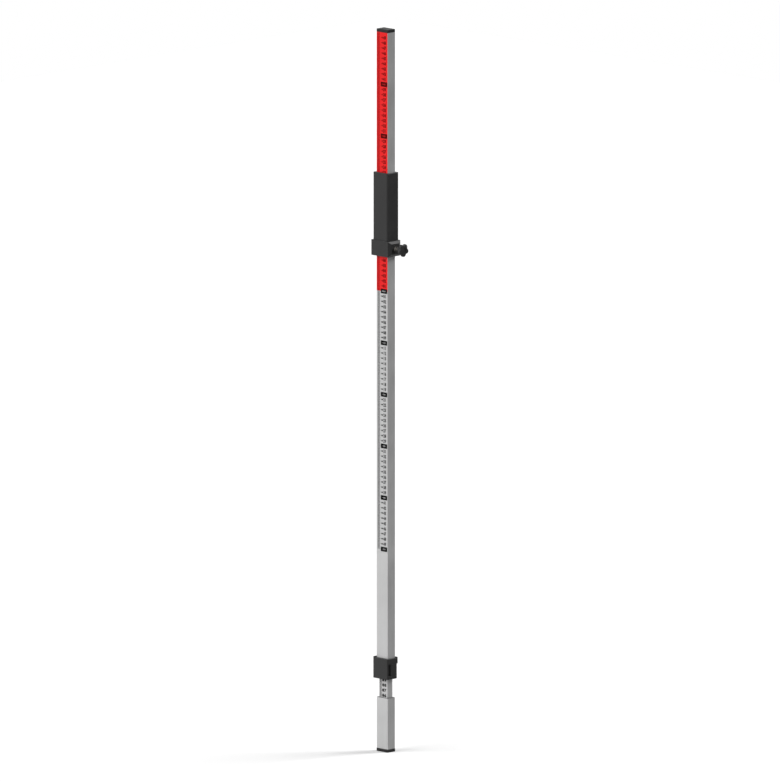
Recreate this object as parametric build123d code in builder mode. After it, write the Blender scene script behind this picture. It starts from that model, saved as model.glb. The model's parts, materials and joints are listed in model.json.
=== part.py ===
"""Telescopic levelling staff with a plus and minus scale, a sliding receiver carriage and a lever lock.

Millimetres. The foot's underside is at height 0 on the staff's axis, +Z is up, the scale faces -Y and
the knob and the lever are on the +X side. The staff stands as photographed: drawn out a little.
"""

import os
from math import cos, radians, sin

from build123d import *

os.makedirs("parts", exist_ok=True)

# Clearances, each side or on the radius
slip = 0.35  # guide or carriage part to the metal that slides in it
running = 0.05  # turning pin or screw to its hole
snug = 0.05  # plug, bush or screw to the hole that it is pushed into
lever_play = 0.3  # lever to the recess that it lies in
cam_gap = 0.3  # cam to brake shoe when locked
grip_gap = 0.1  # brake pad and pressure pad to the tube that they grip

# Outer tube and the films on it
tube_width = 30.0
tube_depth = 20.0
tube_wall = 1.8
tube_corner = 0.5
tube_length = 1222.0
film = 0.2
scale_half = 500.0
film_margin = 6.0  # below the lowest line

# Inner tube
inner_width = 22.9
inner_depth = 13.5
inner_wall = 1.5
inner_corner = 0.8
inner_below_foot_top = 80.0
inner_shorter = 19.0  # than the outer tube
inner_film_start = 0.5
inner_film_end = 7.5

# Foot
foot_width = 29.6
foot_depth = 19.6
foot_wall = 1.8
foot_length = 99.0
foot_lip = 0.5
foot_plug_length = 34.0
foot_edge = 0.6
foot_bush_length = 30.0
foot_bush_drop = 2.0
foot_cap_core = 12.0
foot_core_wall = 2.5

# Top cap
cap_flange = 6.0
cap_plug_length = 18.0
cap_plug_wall = 2.0
cap_edge = 0.8

# Rivets through the back of the foot
rivet_radius = 1.6
rivet_head_radius = 3.2
rivet_head = 1.2
rivet_pitch = 14.0
rivet_dome = 0.7

# Upper guide on the inner tube's top end
guide_skirt = 26.0
guide_flange = 3.0
guide_plug = 12.0
guide_plug_wall = 1.8

# Lower clamp housing, measured out from the outer tube
rest_gap = 37.5
clamp_height = 40.0
clamp_side = 4.7
clamp_front = 5.5
clamp_back = 3.5
clamp_corner = 2.2
clamp_back_corner = 6.0
clamp_edge = 0.8
ring_height = 11.0
clamp_floor = 3.5
tube_step = 0.5

# Guide bush in the housing
bush_wall = 1.6
spigot_length = 28.0

# Lever, its recess, cam and pin
recess_floor = 6.8
recess_wall = 1.4
lever_thickness = 3.2
finger_front = 14.0
finger_back = 5.5
lever_tip = 7.0
cam_radius = 2.7
cam_throw = 0.4
cam_lead = 30.0
pin_radius = 1.25
pin_ahead = 3.4
pin_end = 2.0
pin_reach = 5.5
lever_inner_corner = 2.0

# Brake shoe and its pad
pad_thickness = 0.8
shoe_width = 5.4
shoe_margin = 0.6
window_margin = 0.3

# Countersunk screws
screw_radius = 1.5
screw_head_radius = 2.8
screw_head = 1.3
hex_size = 1.1
hex_depth = 0.8
clamp_screw_spacing = 18.0
collar_screw_spacing = 22.0

# Receiver carriage
carriage_above_zero = 68.2
collar_width = 45.0
collar_depth = 34.0
collar_height = 30.0
collar_corner = 0.6
collar_edge = 0.5
sleeve_width = 39.6
sleeve_depth = 31.0
sleeve_corner = 3.5
sleeve_length = 137.0
sleeve_seat = 6.0
spigot_step = 0.6
carriage_play = 0.5
sleeve_edge = 0.5

# Boss, threaded bush, stud, pressure pad and knob along the screw's axis
screw_height = 15.0
boss_rise = 3.6
boss_width = 20.0
boss_height = 20.0
thread_bush_radius = 4.5
thread_bush_body = 5.5
thread_bush_neck_radius = 5.0
thread_bush_neck = 5.0
stud_radius = 3.0
stud_tip_radius = 2.2
stud_tip = 1.5
press_width = 16.0
press_height = 16.0
press_thickness = 3.0
press_travel = 1.5
bare_stud = 4.8
knob_hub_radius = 6.0
knob_hub = 7.0
knob_thickness = 7.0
knob_core_radius = 8.0
knob_lobe_radius = 5.2
knob_lobe_reach = 7.6
knob_lobes = 5
knob_turned = 55.0
knob_blend = 3.0
knob_edge = 2.4
knob_dish_radius = 5.0
knob_dish = 0.8
stud_in_knob = 4.0

# Heights
foot_top = cap_flange + foot_length
clamp_bottom = foot_top + rest_gap
clamp_top = clamp_bottom + clamp_height
ring_bottom = clamp_top - ring_height
tube_bottom = ring_bottom + tube_step
tube_top = tube_bottom + tube_length
zero_level = tube_top - scale_half
inner_bottom = foot_top - inner_below_foot_top
inner_length = tube_length - inner_shorter
inner_top = inner_bottom + inner_length
inner_film_bottom = foot_top + inner_film_start
inner_film_length = inner_top - guide_skirt - inner_film_end - inner_film_bottom
recess_bottom = clamp_bottom + recess_floor
recess_height = ring_bottom - recess_bottom
bush_bottom = clamp_bottom + clamp_floor
collar_bottom = zero_level + carriage_above_zero
collar_top = collar_bottom + collar_height
sleeve_bottom = collar_top - sleeve_seat
screw_level = collar_bottom + screw_height
clamp_screw_level = (tube_bottom + clamp_top) / 2
collar_screw_level = (sleeve_bottom + collar_top) / 2
rivet_low = foot_top - foot_bush_drop - foot_bush_length / 2 - rivet_pitch / 2

# Sections
tube_bore_width = tube_width - 2 * tube_wall
tube_bore_depth = tube_depth - 2 * tube_wall
inner_bore_width = inner_width - 2 * inner_wall
inner_bore_depth = inner_depth - 2 * inner_wall
foot_bore_width = foot_width - 2 * foot_wall
foot_bore_depth = foot_depth - 2 * foot_wall
guided_width = inner_width + 2 * slip
guided_depth = inner_depth + film + 2 * slip
guided_centre = -film / 2
bush_width = guided_width + 2 * bush_wall
bush_depth = guided_depth + 2 * bush_wall
clamp_half_width = tube_width / 2 + clamp_side
clamp_width = 2 * clamp_half_width
clamp_depth = tube_depth + clamp_front + clamp_back
clamp_centre = (clamp_back - clamp_front) / 2
clamp_back_face = tube_depth / 2 + clamp_back
bush_back_face = guided_centre + bush_depth / 2
recess_back = bush_back_face + recess_wall
lever_outer = clamp_half_width - snug
lever_inner = lever_outer - lever_thickness
recess_side = lever_inner - lever_play
lever_back = clamp_back_face - snug
lever_back_inner = recess_back + lever_play
pin_x = lever_outer - cam_radius + cam_throw * cos(radians(cam_lead)) - snug
pin_y = -pin_ahead
cam_x = pin_x - cam_throw * cos(radians(cam_lead))
cam_y = pin_y + cam_throw * sin(radians(cam_lead))
pad_face = inner_width / 2 + grip_gap
shoe_back = cam_x - cam_radius - cam_gap
shoe_bottom = recess_bottom + shoe_margin
shoe_height = recess_height - 2 * shoe_margin
press_face = tube_width / 2 + grip_gap
press_back = press_face + press_thickness
boss_face = collar_width / 2 + boss_rise
knob_face = boss_face + thread_bush_neck + bare_stud
carriage_bore_width = tube_width + 2 * carriage_play
carriage_bore_depth = tube_depth + 2 * carriage_play
spigot_width = sleeve_width - 2 * spigot_step
spigot_depth = sleeve_depth - 2 * spigot_step
spigot_corner = sleeve_corner - spigot_step


with BuildPart() as foot_cap:
    with BuildSketch():
        RectangleRounded(foot_width + 2 * foot_lip, foot_depth + 2 * foot_lip, tube_corner + foot_lip)
    extrude(amount=cap_flange)
    chamfer(foot_cap.edges().group_by(Axis.Z)[0], foot_edge)
    with BuildSketch(Plane.XY.offset(cap_flange)):
        Rectangle(foot_bore_width - 2 * snug, foot_bore_depth - 2 * snug)
    extrude(amount=foot_plug_length)
    with BuildSketch(Plane.XY.offset(inner_bottom)):
        RectangleRounded(inner_width + 2 * snug, inner_depth + 2 * snug, inner_corner + snug)
    extrude(amount=cap_flange + foot_plug_length - inner_bottom, mode=Mode.SUBTRACT)
    with BuildSketch(Plane.XY.offset(inner_bottom - foot_cap_core)):
        Rectangle(inner_bore_width - 2 * foot_core_wall, inner_bore_depth - 2 * foot_core_wall)
    extrude(amount=foot_cap_core, mode=Mode.SUBTRACT)
foot_cap.part.label = "foot_cap"
export_step(foot_cap.part, "parts/foot_cap.step")

with BuildPart() as foot_tube:
    with BuildSketch(Plane.XY.offset(cap_flange)):
        RectangleRounded(foot_width, foot_depth, tube_corner)
        Rectangle(foot_bore_width, foot_bore_depth, mode=Mode.SUBTRACT)
    extrude(amount=foot_length)
    with BuildSketch(Plane.XZ.offset(-foot_depth / 2)):
        with Locations((0, rivet_low), (0, rivet_low + rivet_pitch)):
            Circle(rivet_radius + snug)
    extrude(amount=foot_wall, mode=Mode.SUBTRACT)
foot_tube.part.label = "foot_tube"
export_step(foot_tube.part, "parts/foot_tube.step")

with BuildPart() as foot_bush:
    with BuildSketch(Plane.XY.offset(foot_top - foot_bush_drop - foot_bush_length)):
        Rectangle(foot_bore_width - 2 * snug, foot_bore_depth - 2 * snug)
        RectangleRounded(
            inner_width + 2 * snug, inner_depth + 2 * snug, inner_corner + snug, mode=Mode.SUBTRACT
        )
    extrude(amount=foot_bush_length)
    with BuildSketch(Plane.XZ.offset(-foot_bore_depth / 2)):
        with Locations((0, rivet_low), (0, rivet_low + rivet_pitch)):
            Circle(rivet_radius + snug)
    extrude(amount=(foot_bore_depth - inner_depth) / 2, mode=Mode.SUBTRACT)
foot_bush.part.label = "foot_bush"
export_step(foot_bush.part, "parts/foot_bush.step")

with BuildPart() as foot_rivets:
    with BuildSketch(Plane.XZ.offset(-foot_depth / 2)):
        with Locations((0, rivet_low), (0, rivet_low + rivet_pitch)):
            Circle(rivet_head_radius)
    extrude(amount=-rivet_head)
    fillet(foot_rivets.edges().group_by(Axis.Y)[-1], rivet_dome)
    with BuildSketch(Plane.XZ.offset(-foot_depth / 2)):
        with Locations((0, rivet_low), (0, rivet_low + rivet_pitch)):
            Circle(rivet_radius)
    extrude(amount=(foot_depth - inner_bore_depth) / 2)
foot_rivets.part.label = "foot_rivets"
export_step(foot_rivets.part, "parts/foot_rivets.step")

with BuildPart() as inner_tube:
    with BuildSketch(Plane.XY.offset(inner_bottom)):
        RectangleRounded(inner_width, inner_depth, inner_corner)
        Rectangle(inner_bore_width, inner_bore_depth, mode=Mode.SUBTRACT)
    extrude(amount=inner_length)
    with BuildSketch(Plane.XZ.offset(-inner_depth / 2)):
        with Locations((0, rivet_low), (0, rivet_low + rivet_pitch)):
            Circle(rivet_radius + snug)
    extrude(amount=inner_wall, mode=Mode.SUBTRACT)
inner_tube.part.label = "inner_tube"
export_step(inner_tube.part, "parts/inner_tube.step")

with BuildPart() as inner_scale:
    with BuildSketch(Plane.XZ.offset(inner_depth / 2)):
        with Locations((0, inner_film_bottom)):
            Rectangle(inner_width - 2 * inner_corner, inner_film_length, align=(Align.CENTER, Align.MIN))
    extrude(amount=film)
inner_scale.part.label = "inner_scale"
export_step(inner_scale.part, "parts/inner_scale.step")

with BuildPart() as upper_guide:
    with BuildSketch(Plane.XY.offset(inner_top - guide_skirt)):
        Rectangle(tube_bore_width - 2 * slip, tube_bore_depth - 2 * slip)
    extrude(amount=guide_skirt + guide_flange)
    with BuildSketch(Plane.XY.offset(inner_top - guide_skirt)):
        RectangleRounded(inner_width + 2 * snug, inner_depth + 2 * snug, inner_corner + snug)
    extrude(amount=guide_skirt, mode=Mode.SUBTRACT)
    with BuildSketch(Plane.XY.offset(inner_top)):
        Rectangle(inner_bore_width - 2 * snug, inner_bore_depth - 2 * snug)
    extrude(amount=-guide_plug)
    with BuildSketch(Plane.XY.offset(inner_top - guide_plug)):
        Rectangle(inner_bore_width - 2 * guide_plug_wall, inner_bore_depth - 2 * guide_plug_wall)
    extrude(amount=guide_plug, mode=Mode.SUBTRACT)
upper_guide.part.label = "upper_guide"
export_step(upper_guide.part, "parts/upper_guide.step")

with BuildPart() as outer_tube:
    with BuildSketch(Plane.XY.offset(tube_bottom)):
        RectangleRounded(tube_width, tube_depth, tube_corner)
        Rectangle(tube_bore_width, tube_bore_depth, mode=Mode.SUBTRACT)
    extrude(amount=tube_length)
    with BuildSketch(Plane.XZ.offset(-tube_depth / 2)):
        with Locations((0, clamp_screw_level)):
            with GridLocations(clamp_screw_spacing, 1, 2, 1):
                Circle(screw_radius + snug)
    extrude(amount=tube_wall, mode=Mode.SUBTRACT)
outer_tube.part.label = "outer_tube"
export_step(outer_tube.part, "parts/outer_tube.step")

with BuildPart() as top_cap:
    with BuildSketch(Plane.XY.offset(tube_top)):
        RectangleRounded(tube_width, tube_depth, tube_corner)
    extrude(amount=cap_flange)
    fillet(top_cap.edges().group_by(Axis.Z)[-1], cap_edge)
    with BuildSketch(Plane.XY.offset(tube_top)):
        Rectangle(tube_bore_width - 2 * snug, tube_bore_depth - 2 * snug)
    extrude(amount=-cap_plug_length)
    with BuildSketch(Plane.XY.offset(tube_top - cap_plug_length)):
        Rectangle(tube_bore_width - 2 * cap_plug_wall, tube_bore_depth - 2 * cap_plug_wall)
    extrude(amount=cap_plug_length, mode=Mode.SUBTRACT)
top_cap.part.label = "top_cap"
export_step(top_cap.part, "parts/top_cap.step")

with BuildPart() as plus_scale:
    with BuildSketch(Plane.XZ.offset(tube_depth / 2)):
        with Locations((0, zero_level)):
            Rectangle(tube_width - 2 * tube_corner, scale_half, align=(Align.CENTER, Align.MIN))
    extrude(amount=film)
plus_scale.part.label = "plus_scale"
export_step(plus_scale.part, "parts/plus_scale.step")

with BuildPart() as minus_scale:
    with BuildSketch(Plane.XZ.offset(tube_depth / 2)):
        with Locations((0, zero_level)):
            Rectangle(
                tube_width - 2 * tube_corner, scale_half + film_margin, align=(Align.CENTER, Align.MAX)
            )
    extrude(amount=film)
minus_scale.part.label = "minus_scale"
export_step(minus_scale.part, "parts/minus_scale.step")

with BuildPart() as clamp_housing:
    # Lower block with fuller back corners, then the ring that holds the outer tube
    with BuildSketch(Plane.XY.offset(clamp_bottom)) as block:
        with Locations((0, clamp_centre)):
            Rectangle(clamp_width, clamp_depth)
        fillet(block.vertices().group_by(Axis.Y)[0], clamp_corner)
        fillet(block.vertices().group_by(Axis.Y)[-1], clamp_back_corner)
    extrude(amount=clamp_height - ring_height)
    fillet(clamp_housing.edges().group_by(Axis.Z)[0], clamp_edge)
    with BuildSketch(Plane.XY.offset(ring_bottom)):
        with Locations((0, clamp_centre)):
            RectangleRounded(clamp_width, clamp_depth, clamp_corner)
    extrude(amount=ring_height)
    fillet(clamp_housing.edges().group_by(Axis.Z)[-1], clamp_edge)
    # Seat of the outer tube, room for the bush, mouth for the inner tube
    with BuildSketch(Plane.XY.offset(tube_bottom)):
        RectangleRounded(tube_width + 2 * snug, tube_depth + 2 * snug, tube_corner + snug)
    extrude(amount=clamp_top - tube_bottom, mode=Mode.SUBTRACT)
    with BuildSketch(Plane.XY.offset(bush_bottom)):
        with Locations((0, guided_centre)):
            Rectangle(bush_width + 2 * snug, bush_depth + 2 * snug)
    extrude(amount=tube_bottom - bush_bottom, mode=Mode.SUBTRACT)
    with BuildSketch(Plane.XY.offset(clamp_bottom)):
        with Locations((0, guided_centre)):
            Rectangle(guided_width, guided_depth)
    extrude(amount=clamp_floor, mode=Mode.SUBTRACT)
    # Recess of the lever with a finger gap at each end
    with BuildSketch(Plane.XY.offset(recess_bottom)) as recess:
        with Locations((recess_side, -finger_front)):
            Rectangle(
                clamp_half_width, clamp_back_face + finger_front, align=(Align.MIN, Align.MIN)
            )
        with Locations((-lever_tip - finger_back, recess_back)):
            Rectangle(clamp_width, clamp_back_face, align=(Align.MIN, Align.MIN))
        fillet(
            recess.vertices().sort_by_distance((recess_side, recess_back))[0],
            lever_inner_corner + lever_play,
        )
    extrude(amount=recess_height, mode=Mode.SUBTRACT)
    # Window that lets the cam reach the brake shoe
    with BuildSketch(Plane.YZ.offset(bush_width / 2)):
        with Locations((pin_y, recess_bottom)):
            Rectangle(
                shoe_width + 2 * window_margin, recess_height, align=(Align.CENTER, Align.MIN)
            )
    extrude(amount=clamp_side, mode=Mode.SUBTRACT)
    with BuildSketch(Plane.XY.offset(clamp_bottom)):
        with Locations((pin_x, pin_y)):
            Circle(pin_radius + snug)
    extrude(amount=ring_bottom + pin_reach - clamp_bottom, mode=Mode.SUBTRACT)
    # Countersunk holes at the back
    with BuildSketch(Plane.XZ.offset(-clamp_back_face)):
        with Locations((0, clamp_screw_level)):
            with GridLocations(clamp_screw_spacing, 1, 2, 1):
                Circle(screw_radius + snug)
    extrude(amount=clamp_back, mode=Mode.SUBTRACT)
    with BuildSketch(Plane.XZ.offset(-clamp_back_face)):
        with Locations((0, clamp_screw_level)):
            with GridLocations(clamp_screw_spacing, 1, 2, 1):
                Circle(screw_head_radius + snug)
    extrude(amount=screw_head, taper=45, mode=Mode.SUBTRACT)
clamp_housing.part.label = "clamp_housing"
export_step(clamp_housing.part, "parts/clamp_housing.step")

with BuildPart() as guide_bush:
    with BuildSketch(Plane.XY.offset(bush_bottom)):
        with Locations((0, guided_centre)):
            Rectangle(bush_width, bush_depth)
    extrude(amount=tube_bottom - bush_bottom)
    with BuildSketch(Plane.XY.offset(tube_bottom)):
        Rectangle(tube_bore_width - 2 * snug, tube_bore_depth - 2 * snug)
    extrude(amount=spigot_length)
    with BuildSketch(Plane.XY.offset(bush_bottom)):
        with Locations((0, guided_centre)):
            Rectangle(guided_width, guided_depth)
    extrude(amount=tube_bottom + spigot_length - bush_bottom, mode=Mode.SUBTRACT)
    with BuildSketch(Plane.YZ.offset(inner_width / 2)):
        with Locations((pin_y, recess_bottom)):
            Rectangle(
                shoe_width + 2 * window_margin, recess_height, align=(Align.CENTER, Align.MIN)
            )
    extrude(amount=(bush_width - inner_width) / 2, mode=Mode.SUBTRACT)
guide_bush.part.label = "guide_bush"
export_step(guide_bush.part, "parts/guide_bush.step")

with BuildPart() as clamp_screws:
    with BuildSketch(Plane.XZ.offset(-clamp_back_face)):
        with Locations((0, clamp_screw_level)):
            with GridLocations(clamp_screw_spacing, 1, 2, 1):
                Circle(screw_head_radius)
    extrude(amount=screw_head, taper=45)
    with BuildSketch(Plane.XZ.offset(-clamp_back_face)):
        with Locations((0, clamp_screw_level)):
            with GridLocations(clamp_screw_spacing, 1, 2, 1):
                Circle(screw_radius)
    extrude(amount=clamp_back + tube_wall)
    with BuildSketch(Plane.XZ.offset(-clamp_back_face)):
        with Locations((0, clamp_screw_level)):
            with GridLocations(clamp_screw_spacing, 1, 2, 1):
                RegularPolygon(hex_size, 6)
    extrude(amount=hex_depth, mode=Mode.SUBTRACT)
clamp_screws.part.label = "clamp_screws"
export_step(clamp_screws.part, "parts/clamp_screws.step")

with BuildPart() as lever_pin:
    with BuildSketch(Plane.XY.offset(clamp_bottom + pin_end)):
        with Locations((pin_x, pin_y)):
            Circle(pin_radius)
    extrude(amount=ring_bottom + pin_reach - clamp_bottom - pin_end)
lever_pin.part.label = "lever_pin"
export_step(lever_pin.part, "parts/lever_pin.step")

with BuildPart() as lock_lever:
    with BuildSketch(Plane.XY.offset(recess_bottom + lever_play)) as plan:
        with BuildLine():
            Polyline(
                (lever_inner, cam_y),
                (lever_outer, cam_y),
                (lever_outer, lever_back),
                (-lever_tip, lever_back),
                (-lever_tip, lever_back_inner),
                (lever_inner, lever_back_inner),
                close=True,
            )
        make_face()
        fillet(plan.vertices().sort_by_distance((lever_outer, lever_back))[0], clamp_back_corner)
        fillet(
            plan.vertices().sort_by_distance((lever_inner, lever_back_inner))[0], lever_inner_corner
        )
        with Locations((cam_x, cam_y)):
            Circle(cam_radius)
        with Locations((pin_x, pin_y)):
            Circle(pin_radius + running, mode=Mode.SUBTRACT)
    extrude(amount=recess_height - 2 * lever_play)
lock_lever.part.label = "lock_lever"
export_step(lock_lever.part, "parts/lock_lever.step")

with BuildPart() as brake_shoe:
    with BuildSketch(Plane.YZ.offset(pad_face + pad_thickness)):
        with Locations((pin_y, shoe_bottom)):
            Rectangle(shoe_width, shoe_height, align=(Align.CENTER, Align.MIN))
    extrude(amount=shoe_back - pad_face - pad_thickness)
brake_shoe.part.label = "brake_shoe"
export_step(brake_shoe.part, "parts/brake_shoe.step")

with BuildPart() as brake_pad:
    with BuildSketch(Plane.YZ.offset(pad_face)):
        with Locations((pin_y, shoe_bottom)):
            Rectangle(shoe_width, shoe_height, align=(Align.CENTER, Align.MIN))
    extrude(amount=pad_thickness)
brake_pad.part.label = "brake_pad"
export_step(brake_pad.part, "parts/brake_pad.step")

with BuildPart() as carriage_sleeve:
    with BuildSketch(Plane.XY.offset(sleeve_bottom + sleeve_length)):
        RectangleRounded(sleeve_width, sleeve_depth, sleeve_corner)
    extrude(amount=sleeve_seat + snug - sleeve_length)
    chamfer(carriage_sleeve.edges().group_by(Axis.Z)[-1], sleeve_edge)
    # Spigot that sits in the collar
    with BuildSketch(Plane.XY.offset(sleeve_bottom)):
        RectangleRounded(spigot_width, spigot_depth, spigot_corner)
    extrude(amount=sleeve_seat + snug)
    with BuildSketch(Plane.XY.offset(sleeve_bottom)):
        RectangleRounded(carriage_bore_width, carriage_bore_depth, tube_corner + carriage_play)
    extrude(amount=sleeve_length, mode=Mode.SUBTRACT)
    with BuildSketch(Plane.XZ.offset(-spigot_depth / 2)):
        with Locations((0, collar_screw_level)):
            with GridLocations(collar_screw_spacing, 1, 2, 1):
                Circle(screw_radius + snug)
    extrude(amount=(spigot_depth - carriage_bore_depth) / 2, mode=Mode.SUBTRACT)
carriage_sleeve.part.label = "carriage_sleeve"
export_step(carriage_sleeve.part, "parts/carriage_sleeve.step")

with BuildPart() as clamp_collar:
    with BuildSketch(Plane.XY.offset(collar_bottom)):
        RectangleRounded(collar_width, collar_depth, collar_corner)
    extrude(amount=collar_height)
    chamfer(clamp_collar.edges().group_by(Axis.Z)[0], collar_edge)
    # Tapered boss on the knob's side
    with BuildSketch(Plane.YZ.offset(collar_width / 2)):
        with Locations((0, collar_bottom + collar_height / 2)):
            Rectangle(collar_depth - 2 * collar_corner, collar_height - 2 * collar_edge)
    with BuildSketch(Plane.YZ.offset(boss_face)):
        with Locations((0, screw_level)):
            Rectangle(boss_width, boss_height)
    loft()
    # Bore for the tube, seat for the sleeve, pocket for the pressure pad
    with BuildSketch(Plane.XY.offset(collar_bottom)):
        RectangleRounded(carriage_bore_width, carriage_bore_depth, tube_corner + carriage_play)
    extrude(amount=collar_height, mode=Mode.SUBTRACT)
    with BuildSketch(Plane.XY.offset(sleeve_bottom)):
        RectangleRounded(spigot_width + 2 * snug, spigot_depth + 2 * snug, spigot_corner + snug)
    extrude(amount=sleeve_seat, mode=Mode.SUBTRACT)
    with BuildSketch(Plane.YZ.offset(tube_width / 2)):
        with Locations((0, screw_level)):
            Rectangle(press_width + 2 * slip, press_height + 2 * slip)
    extrude(amount=press_back + press_travel + slip - tube_width / 2, mode=Mode.SUBTRACT)
    with BuildSketch(Plane.YZ.offset(tube_width / 2)):
        with Locations((0, screw_level)):
            Circle(stud_radius + slip)
    extrude(amount=boss_face - tube_width / 2, mode=Mode.SUBTRACT)
    with BuildSketch(Plane.YZ.offset(boss_face)):
        with Locations((0, screw_level)):
            Circle(thread_bush_radius + snug)
    extrude(amount=-thread_bush_body, mode=Mode.SUBTRACT)
    with BuildSketch(Plane.XZ.offset(-collar_depth / 2)):
        with Locations((0, collar_screw_level)):
            with GridLocations(collar_screw_spacing, 1, 2, 1):
                Circle(screw_radius + snug)
    extrude(amount=(collar_depth - spigot_depth) / 2, mode=Mode.SUBTRACT)
    with BuildSketch(Plane.XZ.offset(-collar_depth / 2)):
        with Locations((0, collar_screw_level)):
            with GridLocations(collar_screw_spacing, 1, 2, 1):
                Circle(screw_head_radius + snug)
    extrude(amount=screw_head, taper=45, mode=Mode.SUBTRACT)
clamp_collar.part.label = "clamp_collar"
export_step(clamp_collar.part, "parts/clamp_collar.step")

with BuildPart() as collar_screws:
    with BuildSketch(Plane.XZ.offset(-collar_depth / 2)):
        with Locations((0, collar_screw_level)):
            with GridLocations(collar_screw_spacing, 1, 2, 1):
                Circle(screw_head_radius)
    extrude(amount=screw_head, taper=45)
    with BuildSketch(Plane.XZ.offset(-collar_depth / 2)):
        with Locations((0, collar_screw_level)):
            with GridLocations(collar_screw_spacing, 1, 2, 1):
                Circle(screw_radius)
    extrude(amount=(collar_depth - carriage_bore_depth) / 2 - slip)
    with BuildSketch(Plane.XZ.offset(-collar_depth / 2)):
        with Locations((0, collar_screw_level)):
            with GridLocations(collar_screw_spacing, 1, 2, 1):
                RegularPolygon(hex_size, 6)
    extrude(amount=hex_depth, mode=Mode.SUBTRACT)
collar_screws.part.label = "collar_screws"
export_step(collar_screws.part, "parts/collar_screws.step")

with BuildPart() as thread_bush:
    with BuildSketch(Plane.YZ.offset(boss_face - thread_bush_body)):
        with Locations((0, screw_level)):
            Circle(thread_bush_radius)
    extrude(amount=thread_bush_body)
    with BuildSketch(Plane.YZ.offset(boss_face)):
        with Locations((0, screw_level)):
            Circle(thread_bush_neck_radius)
    extrude(amount=thread_bush_neck)
    with BuildSketch(Plane.YZ.offset(boss_face - thread_bush_body)):
        with Locations((0, screw_level)):
            Circle(stud_radius + running)
    extrude(amount=thread_bush_body + thread_bush_neck, mode=Mode.SUBTRACT)
thread_bush.part.label = "thread_bush"
export_step(thread_bush.part, "parts/thread_bush.step")

with BuildPart() as pressure_pad:
    with BuildSketch(Plane.YZ.offset(press_face)):
        with Locations((0, screw_level)):
            Rectangle(press_width, press_height)
    extrude(amount=press_thickness)
    with BuildSketch(Plane.YZ.offset(press_back)):
        with Locations((0, screw_level)):
            Circle(stud_tip_radius + running)
    extrude(amount=-stud_tip, mode=Mode.SUBTRACT)
pressure_pad.part.label = "pressure_pad"
export_step(pressure_pad.part, "parts/pressure_pad.step")

with BuildPart() as clamp_stud:
    with BuildSketch(Plane.YZ.offset(press_back - stud_tip)):
        with Locations((0, screw_level)):
            Circle(stud_tip_radius)
    extrude(amount=stud_tip)
    with BuildSketch(Plane.YZ.offset(press_back)):
        with Locations((0, screw_level)):
            Circle(stud_radius)
    extrude(amount=knob_face + knob_hub + stud_in_knob - press_back)
clamp_stud.part.label = "clamp_stud"
export_step(clamp_stud.part, "parts/clamp_stud.step")

with BuildPart() as star_knob:
    with BuildSketch(Plane.YZ.offset(knob_face + knob_hub)) as star:
        with Locations((0, screw_level)):
            Circle(knob_core_radius)
            with PolarLocations(knob_lobe_reach, knob_lobes, start_angle=knob_turned):
                Circle(knob_lobe_radius)
        fillet(star.vertices(), knob_blend)
    extrude(amount=knob_thickness)
    fillet(star_knob.edges().group_by(Axis.X)[-1], knob_edge)
    fillet(star_knob.edges().group_by(Axis.X)[0], knob_edge)
    with BuildSketch(Plane.YZ.offset(knob_face + knob_hub + knob_thickness)):
        with Locations((0, screw_level)):
            Circle(knob_dish_radius)
    extrude(amount=-knob_dish, mode=Mode.SUBTRACT)
    with BuildSketch(Plane.YZ.offset(knob_face)):
        with Locations((0, screw_level)):
            Circle(knob_hub_radius)
    extrude(amount=knob_hub)
    with BuildSketch(Plane.YZ.offset(knob_face)):
        with Locations((0, screw_level)):
            Circle(stud_radius + snug)
    extrude(amount=knob_hub + stud_in_knob, mode=Mode.SUBTRACT)
star_knob.part.label = "star_knob"
export_step(star_knob.part, "parts/star_knob.step")
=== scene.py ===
import json
import math

import bmesh
import bpy
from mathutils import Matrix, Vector

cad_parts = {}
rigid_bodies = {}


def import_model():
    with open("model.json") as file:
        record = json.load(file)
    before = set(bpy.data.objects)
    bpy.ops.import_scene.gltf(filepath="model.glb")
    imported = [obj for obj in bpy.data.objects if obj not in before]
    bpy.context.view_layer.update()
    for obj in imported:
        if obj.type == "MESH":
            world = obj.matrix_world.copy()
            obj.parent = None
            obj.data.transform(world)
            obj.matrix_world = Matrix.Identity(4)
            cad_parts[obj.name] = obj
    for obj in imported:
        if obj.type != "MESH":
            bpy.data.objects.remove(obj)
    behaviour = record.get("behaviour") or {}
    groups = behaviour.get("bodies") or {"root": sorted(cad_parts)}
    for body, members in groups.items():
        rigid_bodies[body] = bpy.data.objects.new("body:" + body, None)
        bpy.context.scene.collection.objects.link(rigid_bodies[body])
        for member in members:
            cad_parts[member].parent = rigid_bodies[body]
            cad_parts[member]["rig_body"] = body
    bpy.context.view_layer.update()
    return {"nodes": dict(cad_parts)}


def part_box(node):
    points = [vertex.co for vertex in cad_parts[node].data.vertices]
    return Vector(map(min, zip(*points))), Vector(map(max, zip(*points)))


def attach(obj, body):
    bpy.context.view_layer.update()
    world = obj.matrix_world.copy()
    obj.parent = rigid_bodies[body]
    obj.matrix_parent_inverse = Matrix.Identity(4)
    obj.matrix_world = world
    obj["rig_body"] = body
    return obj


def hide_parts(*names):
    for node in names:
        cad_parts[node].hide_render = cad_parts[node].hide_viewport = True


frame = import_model()

# Foot cap
# A push-in cap of black polythene that closes the foot tube and stands on the ground.
# Injection moulded in one piece with the plug that is pressed into the tube.
mm = 0.001
weld = 0.001 * mm
flat_turn, sharp_turn = math.radians(0.5), math.radians(26)


def linear(code):
    """The linear colour of an sRGB hex code."""
    shares = [int(code[i:i + 2], 16) / 255 for i in (0, 2, 4)]
    return [c / 12.92 if c <= 0.04045 else ((c + 0.055) / 1.055) ** 2.4 for c in shares] + [1.0]


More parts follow.
